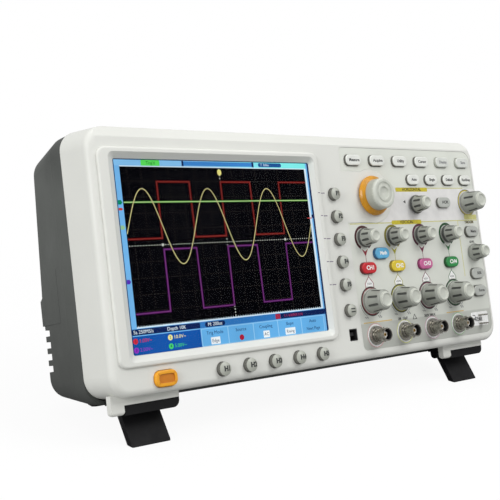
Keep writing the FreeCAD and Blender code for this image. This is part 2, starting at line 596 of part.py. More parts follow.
def mains_inlet():
    """Appliance inlet: flanged body with a recess and three flat pins."""
    x, z, face = INLET_X, REAR_PORT_Z, REAR_Y + 2.4
    hole_w, hole_h = INLET_HOLE
    body = pad(x, z, hole_w + 5.8, hole_h + 5.4, 3.0, REAR_Y + 0.05, face)
    body = body.fuse(pad(x, z, hole_w - 0.8, hole_h - 0.8, 2.6, REAR_Y - 18.0, face)).removeSplitter()
    body = body.cut(pad(x, z, hole_w - 4.0, hole_h - 4.4, 2.0, face - 16.0, face + 1))
    pins = [pad(x + dx, z + dz, 2.0, 4.0, 0.3, REAR_Y - 24.0, face - 4.0)
            for dx, dz in ((-7.0, -2.0), (7.0, -2.0), (0.0, 3.6))]
    return group([body.cut(pins)] + pins)


# ---------------------------------------------------------------- fixings, rubber feet and legs
def case_screws():
    """Cross-head screws, from the rear shell's tubes into the front shell's bosses."""
    screws = []
    floor, beyond = SCREW_HEAD_Y + CROSS_FLOOR, SCREW_HEAD_Y + SCREW_HEAD_T + 1
    for sx in (-1, 1):
        for z in SCREW_ZS:
            x = sx * SCREW_X
            head = rod(SCREW_HEAD_R, x, z, SCREW_HEAD_Y, SCREW_HEAD_Y + SCREW_HEAD_T)
            cross = [box(x - across, x + across, floor, beyond, z - up, z + up)
                     for across, up in ((CROSS_REACH, CROSS_HALF), (CROSS_HALF, CROSS_REACH))]
            shank = rod(SCREW_R, x, z, SCREW_TIP_Y, SCREW_HEAD_Y + 0.5)
            screws.append(head.cut(cross).fuse(shank).removeSplitter())
    return group(screws)


def leg_tip():
    """The (y, z) point where a leg's centre line meets the desk."""
    run = LEG_DROP + LEG_HINGE_Z
    return LEG_HINGE_Y - run * math.tan(math.radians(LEG_RAKE)), -LEG_DROP


def desk_height(y):
    """The desk's height under depth y, in the panel frame."""
    tip_y, tip_z = leg_tip()
    return tip_z + (y - tip_y) * math.tan(math.radians(LEAN))


def below_desk():
    """Everything under the desk's surface, as far as the legs could reach."""
    fore, aft, deep = -60.0, 160.0, -120.0
    return yz_prism([(fore, desk_height(fore)), (aft, desk_height(aft)), (aft, deep), (fore, deep)],
                    -WIDTH, WIDTH)


def leg(x):
    """One leg: a plate with a hinge barrel and two moulded pins, its end cut flat for the desk."""
    rake = math.radians(LEG_RAKE)
    length = (LEG_DROP + LEG_HINGE_Z) / math.cos(rake) + 4.0
    half = LEG_WIDTH / 2
    plate = slab(x - half, x + half, -length, 0.0, -LEG_THICK / 2, LEG_THICK / 2,
                 (LEG_CORNER, LEG_CORNER, 0.4, 0.4))
    plate.rotate(Vector(0, 0, 0), Vector(1, 0, 0), -LEG_RAKE)
    plate.translate(Vector(0, LEG_HINGE_Y, LEG_HINGE_Z))
    barrel = cross_rod(LEG_BARREL_R, x - half, x + half, LEG_HINGE_Y, LEG_HINGE_Z)
    pins = cross_rod(LEG_PIN_R, x - half - LEG_PIN_REACH, x + half + LEG_PIN_REACH, LEG_HINGE_Y, LEG_HINGE_Z)
    return plate.fuse([barrel, pins]).removeSplitter().cut(below_desk())


def leg_brackets():
    """The black bracket behind each lip: a front bar and two cheeks that hold the leg's pins."""
    brackets = []
    mouth = LEG_WIDTH / 2 + CHEEK_GAP
    for x in LEG_CENTRES:
        left, right = x - BAR_LEFT, x + LIP_RIGHT
        bar = box(left, right, LIP_Y + 0.4, LIP_Y + BAR_DEPTH, -FOOT_DROP, -LIP_DROP)
        bar = bar.makeFillet(BAR_ROUND, [e for e in bar.Edges if e.BoundBox.XMin > right - 0.4
                                         and e.BoundBox.ZMax < 1 - FOOT_DROP])
        base = box(left, right, LIP_Y + LIP_T, BRACKET_BACK, -LIP_DROP, 0.0)
        slot = box(x - mouth, x + mouth, BRACKET_SLOT_Y, BRACKET_BACK + 27, -LIP_DROP - 16, -1.2)
        cheeks = []
        for side in (-1, 1):
            x0, x1 = sorted((x + side * mouth, x + side * (mouth + CHEEK_T)))
            post = box(x0, x1, LEG_HINGE_Y - CHEEK_R, LEG_HINGE_Y + CHEEK_R, LEG_HINGE_Z, -1.0)
            cheeks += [post, cross_rod(CHEEK_R, x0, x1, LEG_HINGE_Y, LEG_HINGE_Z)]
        socket = cross_rod(LEG_PIN_R + PIN_CLEARANCE, x - 30, x + 30, LEG_HINGE_Y, LEG_HINGE_Z)
        brackets.append(bar.fuse([base.cut(slot)] + cheeks).removeSplitter().cut(socket))
    return group(brackets)


def rear_pads():
    """Two wedge pads under the back, cut flat where they stand on the desk."""
    pads = []
    belly = rear_volume(0.0)
    toe, floor = PAD_Y0 - PAD_TOE, desk_height(PAD_Y0)
    side_view = [(toe, floor), (PAD_Y0, floor), (PAD_Y1, desk_height(PAD_Y1)),
                 (PAD_Y1, PAD_TOP), (toe, PAD_TOP)]
    for side in (-1, 1):
        wedge = yz_prism(side_view, side * PAD_X - PAD_HALF, side * PAD_X + PAD_HALF)
        below_belly = min(wedge.cut(belly).Solids, key=lambda s: s.CenterOfMass.z)
        pads.append(below_belly)
    return group(pads)


# ---------------------------------------------------------------- export
def build():
    """Every node's shape in the panel frame."""
    nodes = {
        "front_shell": front_shell(), "rear_shell": rear_shell(), "control_overlay": control_overlay(),
        "touch_panel": touch_panel(), "lcd_module": lcd_module(), "front_board": front_board(),
        "signal_boards": group([main_board(), rear_port_board()]), "power_supply": power_supply(),
        "mains_inlet": mains_inlet(), "bnc_jacks": bnc_jacks(), "usb_port": usb_port(),
        "probe_terminals": probe_terminals(), "case_screws": case_screws(),
        "leg_brackets": leg_brackets(), "rear_pads": rear_pads(),
        "left_leg": leg(LEG_CENTRES[0]), "right_leg": leg(LEG_CENTRES[1]),
    }
    for name, dims in key_table().items():
        nodes[name] = shaped_key(*dims, dish=0.7 if name == "power_key" else 0.0)
    for name, (x, z) in round_key_table().items():
        nodes[name] = round_key(x, z)
    for name, dims in knob_table().items():
        nodes[name] = multi_knob(*dims) if name == "multi_knob" else fluted_knob(*dims)
    return nodes


def lean_back(shape):
    leaned = shape.copy()
    leaned.rotate(Vector(0, 0, 0), Vector(1, 0, 0), -LEAN)
    return leaned


def desk_offset(nodes):
    """The shift that puts the bottom centre of the leaned-back object's box at the origin."""
    whole = FreeCAD.BoundBox()
    for shape in nodes.values():
        whole.add(lean_back(shape).optimalBoundingBox(False, False))
    return Vector(-whole.Center.x, -whole.Center.y, -whole.ZMin)


def main():
    os.makedirs("parts", exist_ok=True)
    nodes = build()
    offset = desk_offset(nodes)
    print(f"panel frame moves by {tuple(round(v, 4) for v in offset)} after leaning {LEAN} degrees")
    for name, shape in nodes.items():
        placed = lean_back(shape)
        placed.translate(offset)
        bad = [i for i, s in enumerate(placed.Solids) if not s.isValid() or s.Volume <= 0]
        if bad or not placed.Solids:
            print(f"{name}: invalid solids {bad} of {len(placed.Solids)}")
        Part.makeCompound(placed.Solids).exportStep(f"parts/{name}.step")


if __name__ == "__main__":
    main()
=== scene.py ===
"""Looks of a four-channel bench oscilloscope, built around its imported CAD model.

Printed and screen pieces are laid out in the panel frame: +X right, +Y into the instrument, +Z up the
panel, origin at the middle of the front's bottom edge, in millimetres.  PANEL carries them to the row frame.
"""

import json
import math

import bmesh
import bpy
from mathutils import Matrix, Vector


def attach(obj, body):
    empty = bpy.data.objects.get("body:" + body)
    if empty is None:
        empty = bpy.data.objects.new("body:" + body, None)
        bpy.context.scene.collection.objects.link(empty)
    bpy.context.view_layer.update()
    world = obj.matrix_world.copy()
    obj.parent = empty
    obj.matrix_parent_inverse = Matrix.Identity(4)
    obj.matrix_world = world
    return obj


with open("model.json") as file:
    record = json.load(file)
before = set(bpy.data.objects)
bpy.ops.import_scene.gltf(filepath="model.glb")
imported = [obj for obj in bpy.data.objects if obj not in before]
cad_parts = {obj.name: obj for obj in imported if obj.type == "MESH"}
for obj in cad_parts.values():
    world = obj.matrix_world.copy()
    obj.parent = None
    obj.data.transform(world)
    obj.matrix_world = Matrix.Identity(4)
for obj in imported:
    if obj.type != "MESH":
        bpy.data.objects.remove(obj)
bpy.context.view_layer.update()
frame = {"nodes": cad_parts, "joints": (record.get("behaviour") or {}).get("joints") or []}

# ---------------------------------------------------------------- the panel frame
MM = 0.001
JOINTS = {j["name"]: j for j in frame["joints"]}
ACROSS = Vector((1.0, 0.0, 0.0))
INWARD = Vector(JOINTS["power_key_press"]["axis"])
UPWARD = ACROSS.cross(INWARD)
MULTI_KNOB_AT = Vector((56.3, -5.0, 121.8))


def panel_matrix():
    """Panel millimetres to row metres, from the pivot of the big knob."""
    turn = Matrix((ACROSS, INWARD, UPWARD)).transposed()
    origin = Vector(JOINTS["multi_knob_turn"]["pos_m"]) - turn @ MULTI_KNOB_AT * MM
    return Matrix.Translation(origin) @ turn.to_4x4() @ Matrix.Scale(MM, 4)


PANEL = panel_matrix()
TO_PANEL = PANEL.inverted()


def crown(node):
    """The middle of a key or knob and how far it stands out of the panel, from its mesh."""
    points = [TO_PANEL @ v.co for v in frame["nodes"][node].data.vertices]
    xs, ys, zs = zip(*points)
    return (min(xs) + max(xs)) / 2, (min(zs) + max(zs)) / 2, -min(ys)


# Places and sizes that several pieces share, in panel millimetres
CHANNEL_COUNT = 4
CHANNELS = [crown(f"channel_{i + 1}_key")[0] for i in range(CHANNEL_COUNT)]
RIGHT_COLUMN, SEC_DIV_Z, _ = crown("horizontal_scale_knob")
LEVEL_Z = crown("trigger_level_knob")[1]
POSITION_Z = crown("channel_1_position_knob")[1]
SCALE_Z = crown("channel_1_scale_knob")[1]
SIDE_KEY_ZS = [crown(f"side_key_{i + 1}")[1] for i in range(5)]
BNC_Z = 16.6
SCREEN_LEFT, SCREEN_TOP = -166.1, 147.1
SCREEN_W, SCREEN_H = 163.1, 122.3
PLOT_LEFT, PLOT_RIGHT, PLOT_TOP, PLOT_BOTTOM = 4.3, 158.5, 4.8, 105.4
PLOT_MIDDLE_U, PLOT_MIDDLE_V, DIVISION = 81.2, 55.1, 10.25
SHELL_FACE, SHEET_FACE, FRAME_FACE = 0.0, 0.2, -2.0
LEADER_LIFT = 1.0
ROUND_KEY_R, ROUND_KEY_RISE = 4.5, 1.3
SMALL_KNOB, LARGE_KNOB = (6.6, 5.5), (8.6, 7.5)  # radius of the grip at its root and at its shoulder
KNOBS = {"horizontal_position_knob": SMALL_KNOB, "horizontal_scale_knob": LARGE_KNOB,
         "trigger_level_knob": SMALL_KNOB}
for i in range(CHANNEL_COUNT):
    KNOBS[f"channel_{i + 1}_position_knob"] = SMALL_KNOB
    KNOBS[f"channel_{i + 1}_scale_knob"] = LARGE_KNOB
SHAFT_R = 3.1
KNOB_NECK_Y, KNOB_SKIRT_Y = -3.3, -3.2
KNOB_TIP_DEPTH, KNOB_SHOULDER_DEPTH, FLUTE_BITE = 1.75, 2.9, 0.12  # depths from the knob's end


# ---------------------------------------------------------------- materials
def linear(colour):
    """0-255 display colour to the renderer's linear colour."""
    out = []
    for value in colour:
        v = value / 255.0
        out.append(v / 12.92 if v <= 0.04045 else ((v + 0.055) / 1.055) ** 2.4)
    return (*out, 1.0)


def shade(colour, factor):
    return tuple(min(255.0, c * factor) for c in colour)


def rgba(sockets):
    """The colour sockets of a Mix node."""
    return [s for s in sockets if s.type == "RGBA"]


class Graph:
    """A short way to write a node tree."""

    def __init__(self, name):
        self.material = bpy.data.materials.new(name)
        self.material.use_nodes = True
        self.tree = self.material.node_tree
        self.tree.nodes.clear()
        self.output = self.add("ShaderNodeOutputMaterial")

    def add(self, kind, **values):
        node = self.tree.nodes.new(kind)
        for key, value in values.items():
            if hasattr(node, key):
                setattr(node, key, value)
            else:
                node.inputs[key.replace("_", " ")].default_value = value
        return node

    def link(self, source, target):
        self.tree.links.new(source, target)

    def noise(self, size_mm, detail=2.0):
        """Noise whose features are about size_mm across."""
        coords = self.add("ShaderNodeTexCoord")
        texture = self.add("ShaderNodeTexNoise", Scale=1.0 / (size_mm * MM), Detail=detail)
        self.link(coords.outputs["Object"], texture.inputs["Vector"])
        return texture.outputs["Fac"]

    def ramp(self, value, low, high):
        """Maps noise from its usual 0.3-0.7 to low-high."""
        node = self.add("ShaderNodeMapRange", From_Min=0.3, From_Max=0.7, To_Min=low, To_Max=high)
        self.link(value, node.inputs["Value"])
        return node.outputs["Result"]

    def mottled(self, colour, spread, size_mm):
        """The colour, darker and lighter by spread in soft patches."""
        mix = self.add("ShaderNodeMix", data_type="RGBA")
        a, b = rgba(mix.inputs)
        a.default_value = linear(shade(colour, 1.0 - spread))
        b.default_value = linear(shade(colour, 1.0 + spread))
        self.link(self.ramp(self.noise(size_mm), 0.0, 1.0), mix.inputs["Factor"])
        return rgba(mix.outputs)[0]

    def graded(self, colour, stops):
        """The colour times a grey that changes with height, a painted shade; stops are (height in mm, grey).
        """
        low, high = stops[0][0], stops[-1][0]
        place = self.add("ShaderNodeTexCoord")
        parts = self.add("ShaderNodeSeparateXYZ")
        self.link(place.outputs["Object"], parts.inputs["Vector"])
        up = self.add("ShaderNodeMapRange", From_Min=low * MM, From_Max=high * MM)
        self.link(parts.outputs["Z"], up.inputs["Value"])
        greys = self.add("ShaderNodeValToRGB")
        elements = greys.color_ramp.elements
        for i, (height, grey) in enumerate(stops):
            place_up = (height - low) / (high - low)
            stop = elements[i] if i < 2 else elements.new(place_up)
            stop.position = place_up
            stop.color = (grey, grey, grey, 1.0)
        self.link(up.outputs["Result"], greys.inputs["Fac"])
        mix = self.add("ShaderNodeMix", data_type="RGBA", blend_type="MULTIPLY")
        mix.inputs["Factor"].default_value = 1.0
        a, b = rgba(mix.inputs)
        self.link(colour, a)
        self.link(greys.outputs["Color"], b)
        return rgba(mix.outputs)[0]


def finish(name, colour, roughness=0.45, metallic=0.0, spread=0.03, patch=18.0,
           grain=0.0, grain_size=0.5, edge=0.0, coat=0.0, shade_grade=None, specular=0.5):
    """A solid finish: soft colour patches, uneven gloss, fine moulded grain, eased edges and, where a grade
    is given, painted shade that changes with height.
    """
    g = Graph(name)
    bsdf = g.add("ShaderNodeBsdfPrincipled", Metallic=metallic, Coat_Weight=coat, Coat_Roughness=0.15,
                 Specular_IOR_Level=specular)
    base = g.mottled(colour, spread, patch)
    if shade_grade:
        base = g.graded(base, shade_grade)
    g.link(base, bsdf.inputs["Base Color"])
    g.link(g.ramp(g.noise(patch * 0.4), roughness - 0.04, roughness + 0.06), bsdf.inputs["Roughness"])
    normal = None
    if edge:
        bevel = g.add("ShaderNodeBevel", samples=4, Radius=edge * MM)
        normal = bevel.outputs["Normal"]
    if grain:
        bump = g.add("ShaderNodeBump", Strength=0.6, Distance=grain * MM)
        g.link(g.noise(grain_size, 3.0), bump.inputs["Height"])
        if normal:
            g.link(normal, bump.inputs["Normal"])
        normal = bump.outputs["Normal"]
    if normal:
        g.link(normal, bsdf.inputs["Normal"])
    g.link(bsdf.outputs["BSDF"], g.output.inputs["Surface"])
    return g.material


BACKLIGHT_SPREAD, BACKLIGHT_PATCH = 0.04, 30.0


def light_ink(name, colour):
    """A lit part of the screen picture, with the faint unevenness of a backlight."""
    g = Graph(name)
    glow = g.add("ShaderNodeEmission", Strength=1.0)
    g.link(g.mottled(colour, BACKLIGHT_SPREAD, BACKLIGHT_PATCH), glow.inputs["Color"])
    g.link(glow.outputs["Emission"], g.output.inputs["Surface"])
    return g.material


def graded_ink(name, left, right, x0, x1):
    """A lit part of the screen that goes from one colour to another between two places across it."""
    g = Graph(name)
    place = g.add("ShaderNodeTexCoord")
    parts = g.add("ShaderNodeSeparateXYZ")
    g.link(place.outputs["Object"], parts.inputs["Vector"])
    along = g.add("ShaderNodeMapRange", From_Min=x0 * MM, From_Max=x1 * MM)
    g.link(parts.outputs["X"], along.inputs["Value"])
    mix = g.add("ShaderNodeMix", data_type="RGBA")
    a, b = rgba(mix.inputs)
    g.link(g.mottled(left, BACKLIGHT_SPREAD, BACKLIGHT_PATCH), a)
    g.link(g.mottled(right, BACKLIGHT_SPREAD, BACKLIGHT_PATCH), b)
    g.link(along.outputs["Result"], mix.inputs["Factor"])
    glow = g.add("ShaderNodeEmission", Strength=1.0)
    g.link(rgba(mix.outputs)[0], glow.inputs["Color"])
    g.link(glow.outputs["Emission"], g.output.inputs["Surface"])
    return g.material


def glass(name):
    """Clear cover: mostly see-through, with a weak uneven reflection."""
    g = Graph(name)
    clear = g.add("ShaderNodeBsdfTransparent")
    clear.inputs["Color"].default_value = (0.97, 0.98, 0.98, 1.0)
    gloss = g.add("ShaderNodeBsdfGlossy", Roughness=0.06)
    fresnel = g.add("ShaderNodeFresnel", IOR=1.25)
    smear = g.ramp(g.noise(60.0), 0.10, 0.20)
    weak = g.add("ShaderNodeMath", operation="MULTIPLY")
    g.link(fresnel.outputs["Fac"], weak.inputs[0])
    g.link(smear, weak.inputs[1])
    mix = g.add("ShaderNodeMixShader")
    g.link(weak.outputs["Value"], mix.inputs["Fac"])
    g.link(clear.outputs["BSDF"], mix.inputs[1])
    g.link(gloss.outputs["BSDF"], mix.inputs[2])
    g.link(mix.outputs["Shader"], g.output.inputs["Surface"])
    return g.material


SHELL = finish("shell_white", (226, 227, 221), 0.42, spread=0.012, patch=60.0, grain=0.02, grain_size=0.6,
               edge=0.5)
# The rear shell darker low down and towards the top: painted shade.
REAR_SHADE_GRADE = ((20.0, 0.66), (70.0, 0.85), (110.0, 1.0), (150.0, 1.0), (190.0, 0.6))
REAR = finish("shell_dark", (88, 91, 88), 0.55, spread=0.05, patch=40.0, grain=0.04, grain_size=0.8, edge=0.6,
              shade_grade=REAR_SHADE_GRADE, specular=0.35)
# The control sheet darker towards the bottom and below the input row: painted shade.
SHEET_SHADE_GRADE = ((44.0, 0.64), (58.0, 0.70), (59.0, 0.90), (80.0, 0.93), (110.0, 0.96), (186.0, 0.97))
SHEET = finish("overlay_grey", (226, 229, 220), 0.5, spread=0.015, patch=30.0, grain=0.01, grain_size=0.4,
               shade_grade=SHEET_SHADE_GRADE)
KNOB = finish("knob_grey", (150, 153, 145), 0.38, spread=0.04, patch=6.0, grain=0.015, grain_size=0.4,
              edge=0.3)
CAP = finish("cap_grey", (170, 173, 163), 0.36, spread=0.02, patch=8.0, grain=0.01, grain_size=0.4, edge=0.3)
KNOB_TIP = finish("knob_tip", (202, 205, 195), 0.4, spread=0.03, patch=5.0, edge=0.2)
# Dark grey for the knob flutes and the position knobs' skirts: painted shade.
KNOB_SHADE = finish("knob_painted_shade", (70, 72, 69), 0.5, spread=0.06, patch=3.0)
NICKEL = finish("nickel", (158, 155, 147), 0.24, metallic=1.0, spread=0.08, patch=2.0, grain=0.01,
                grain_size=0.3)
STEEL = finish("plated_steel", (165, 166, 168), 0.3, metallic=1.0, spread=0.06, patch=6.0)
GOLD = finish("contact_gold", (212, 170, 88), 0.25, metallic=1.0, spread=0.06, patch=2.0)
INSULATOR = finish("insulator_white", (236, 234, 226), 0.5, spread=0.03, patch=2.0)
BLACK = finish("inlet_black", (26, 26, 27), 0.45, spread=0.1, patch=8.0, grain=0.02, grain_size=0.5, edge=0.3)
RUBBER = finish("foot_rubber", (34, 34, 35), 0.75, spread=0.12, patch=6.0, grain=0.05, grain_size=0.4)
LEG = finish("leg_black", (18, 18, 20), 0.6, spread=0.08, patch=15.0, grain=0.03, grain_size=0.6, edge=0.4,
             specular=0.2)
BOARD = finish("circuit_board", (34, 84, 52), 0.4, spread=0.25, patch=3.0, coat=0.4)
DARK = finish("dark_gap", (30, 30, 31), 0.6, spread=0.1, patch=5.0)
# Dark grey for the side walls of keys: painted shade.
KEY_SIDE_SHADE = finish("key_side_shade", (104, 104, 98), 0.5, spread=0.05, patch=3.0)
COVER = glass("screen_glass")


def key_finish(name, colour, spread=0.02):
    return finish(name, colour, 0.36, spread=spread, patch=5.0, grain=0.006, grain_size=0.3, edge=0.35)


KEY_WHITE = key_finish("key_white", (230, 232, 226))
KEY_PALE = key_finish("key_pale", (216, 219, 213))
KEY_GREY = key_finish("key_grey", (178, 181, 171))
KEY_SHEET = key_finish("key_sheet_grey", (184, 187, 181))
ORANGE = key_finish("key_orange", (240, 166, 28))
# A darker orange for the dish of the power key: painted shade.
ORANGE_DISH_SHADE = key_finish("key_orange_dish_shade", (205, 124, 20))
ORANGE_RING = finish("knob_orange", (206, 142, 8), 0.3, spread=0.05, patch=5.0, coat=0.2, edge=0.3)
CHANNEL_NAMES = ("red", "yellow", "pink", "green")
CHANNEL_KEY = {
    "red": key_finish("key_red", (200, 26, 38), 0.05),
    "yellow": key_finish("key_yellow", (226, 200, 48), 0.05),
    "pink": key_finish("key_pink", (198, 98, 150), 0.05),
    "green": key_finish("key_green", (32, 136, 66), 0.05),
    "blue": key_finish("key_blue", (92, 172, 214), 0.05),
}
# Darker copies of the key colours for their side walls: painted shade.
CHANNEL_SIDE_SHADE = {
    "red": key_finish("key_red_side_shade", (132, 12, 24), 0.05),
    "yellow": key_finish("key_yellow_side_shade", (160, 136, 22), 0.05),
    "pink": key_finish("key_pink_side_shade", (140, 52, 100), 0.05),
    "green": key_finish("key_green_side_shade", (14, 84, 36), 0.05),
    "blue": key_finish("key_blue_side_shade", (40, 98, 142), 0.05),
}


def ink(name, colour):
    return finish("ink_" + name, colour, 0.5, spread=0.05, patch=1.5)


INK_DARK = ink("dark", (52, 54, 54))
INK_GREY = ink("grey", (128, 130, 130))
INK_LILAC = finish("ink_lilac", (230, 229, 227), 0.5, spread=0.025, patch=9.0)
INK_WHITE = ink("white", (244, 245, 242))
INK_YELLOW = ink("yellow", (204, 188, 42))
INK_YELLOW_SOFT = ink("yellow_soft", (206, 203, 130))
INK_OLIVE = ink("olive", (92, 82, 12))
INK_ORANGE = ink("orange", (214, 186, 120))
INK_PURPLE = ink("purple", (118, 106, 128))
INK_CHANNEL = {
    "red": ink("red", (140, 26, 44)), "yellow": ink("gold", (168, 164, 44)),
    "pink": ink("pink", (120, 40, 72)), "green": ink("green", (34, 104, 52)),
}
INK_CHANNEL_DEEP = {
    "red": ink("red_deep", (72, 18, 26)), "yellow": ink("gold_deep", (132, 124, 34)),
    "pink": ink("pink_deep", (88, 32, 58)), "green": ink("green_deep", (22, 74, 36)),
}
INK_CHANNEL_SOFT = {
    "red": ink("red_soft", (206, 150, 150)), "yellow": ink("gold_soft", (214, 218, 126)),
    "pink": ink("pink_soft", (196, 150, 172)), "green": ink("green_soft", (150, 196, 140)),
}


# ---------------------------------------------------------------- CAD nodes
def panel_faces(node):
    """Each face of a CAD node with its centre and normal in the panel frame."""
    turn = TO_PANEL.to_3x3()
    for face in frame["nodes"][node].data.polygons:
        yield face, TO_PANEL @ face.center, (turn @ face.normal).normalized()


def dress(node, materials, choose=None):
    """Gives a CAD node its materials; choose(centre, normal) says which one each face takes."""
    mesh = frame["nodes"][node].data
    mesh.materials.clear()
    for material in materials:
        mesh.materials.append(material)
    for face, centre, normal in panel_faces(node):
        face.material_index = choose(centre, normal) if choose else 0


def dress_knob(node):
    """Grip, pale cupped tip and steel shaft, with painted shade in the flutes and, on position knobs, on the
    skirt.
    """
    x, z, out = crown(node)
    root_r, shoulder_r = KNOBS[node]
    shoulder = -out + KNOB_SHOULDER_DEPTH
    shaded_skirt = "position" in node

    def choose(centre, normal):
        r = math.hypot(centre.x - x, centre.z - z)
        if centre.y < -out + KNOB_TIP_DEPTH:
            return 1
        if r < SHAFT_R:
            return 3
        # The skirt of a position knob and the flutes take the painted shade.
        if shaded_skirt and centre.y > KNOB_SKIRT_Y:
            return 2
        along = (KNOB_NECK_Y - centre.y) / (KNOB_NECK_Y - shoulder)
        wall = root_r + (shoulder_r - root_r) * along
        in_flute = 0.0 < along < 1.0 and r < wall - FLUTE_BITE
        return 2 if in_flute else 0

    dress(node, [KNOB, KNOB_TIP, KNOB_SHADE, STEEL], choose)


def dress_multi_knob():
    """Pale cap with a cupped tip on an orange ring."""
    x, z, out = crown("multi_knob")
    ring_front, ring_r = -5.25, 12.0
    tip_depth, shaft_depth = 1.9, 2.0

    def choose(centre, normal):
        r = math.hypot(centre.x - x, centre.z - z)
        if centre.y > ring_front and r > ring_r:
            return 1
        if r < SHAFT_R and centre.y > -out + shaft_depth:
            return 3
        return 2 if centre.y < -out + tip_depth else 0

    dress("multi_knob", [CAP, ORANGE_RING, KNOB_TIP, STEEL], choose)


def dress_key(node, top, side):
    """A top in its own colour on side walls in a darker colour, which is painted shade."""
    steepest = 0.35
    dress(node, [top, side], lambda centre, normal: 0 if normal.y < -steepest else 1)


def dress_bnc():
    """Nickel shells, white insulators, gold contacts and a painted shadow inside the barrels."""
    contact_r, insulator_r, bore_r = 1.3, 2.65, 4.3

    def choose(centre, normal):
        x = min(CHANNELS, key=lambda c: abs(c - centre.x))
        r = math.hypot(centre.x - x, centre.z - BNC_Z)
        if r < contact_r:
            return 2
        if r < insulator_r:
            return 1
        # Inner faces of the barrel take near-black: painted shadow.
        shaded_bore = r < bore_r and normal.dot(Vector((centre.x - x, 0.0, centre.z - BNC_Z))) < 0.0
        return 3 if shaded_bore else 0

    dress("bnc_jacks", [NICKEL, INSULATOR, GOLD, DARK], choose)


def dress_cad():
    plain = {
        "front_shell": SHELL, "rear_shell": REAR, "control_overlay": SHEET, "touch_panel": COVER,
        "lcd_module": STEEL, "front_board": BOARD, "signal_boards": BOARD, "power_supply": BOARD,
        "mains_inlet": BLACK, "usb_port": DARK, "probe_terminals": NICKEL, "case_screws": STEEL,
        "leg_brackets": LEG, "rear_pads": RUBBER, "left_leg": LEG, "right_leg": LEG,
    }
    for node, material in plain.items():
        dress(node, [material])
    dress_bnc()
    dress_multi_knob()
    for node in KNOBS:
        dress_knob(node)
    for i in range(6):
        # Side walls take a darker colour, painted shade; the pale keys take a darker grey.
        dress_key(f"menu_key_{i + 1}", KEY_WHITE if i < 4 else KEY_PALE, KEY_SIDE_SHADE if i < 4 else KEY_GREY)
    for i in range(4):
        dress_key(f"run_key_{i + 1}", KEY_WHITE, KEY_SIDE_SHADE)
        dress_key(f"channel_{i + 1}_key", CHANNEL_KEY[CHANNEL_NAMES[i]], CHANNEL_SIDE_SHADE[CHANNEL_NAMES[i]])
    dress_key("math_key", CHANNEL_KEY["blue"], CHANNEL_SIDE_SHADE["blue"])
    for node in ("horizontal_menu_key", "trigger_menu_key", "trigger_half_key", "trigger_force_key"):
        dress_key(node, KEY_SHEET, KEY_SIDE_SHADE)
    for i in range(5):
        dress_key(f"side_key_{i + 1}", KEY_GREY, KEY_SIDE_SHADE)
        dress_key(f"bottom_key_{i + 1}", KEY_GREY, KEY_SIDE_SHADE)
    dress_key("copy_key", KEY_GREY, KEY_SIDE_SHADE)
    x, z, _ = crown("power_key")
    dish_w, dish_h = 11.9, 5.9
    in_dish = lambda centre: abs(centre.x - x) < dish_w / 2 and abs(centre.z - z) < dish_h / 2
    # The dish takes the darker orange, painted shade.
    dress("power_key", [ORANGE, ORANGE_DISH_SHADE], lambda centre, normal: 1 if in_dish(centre) else 0)


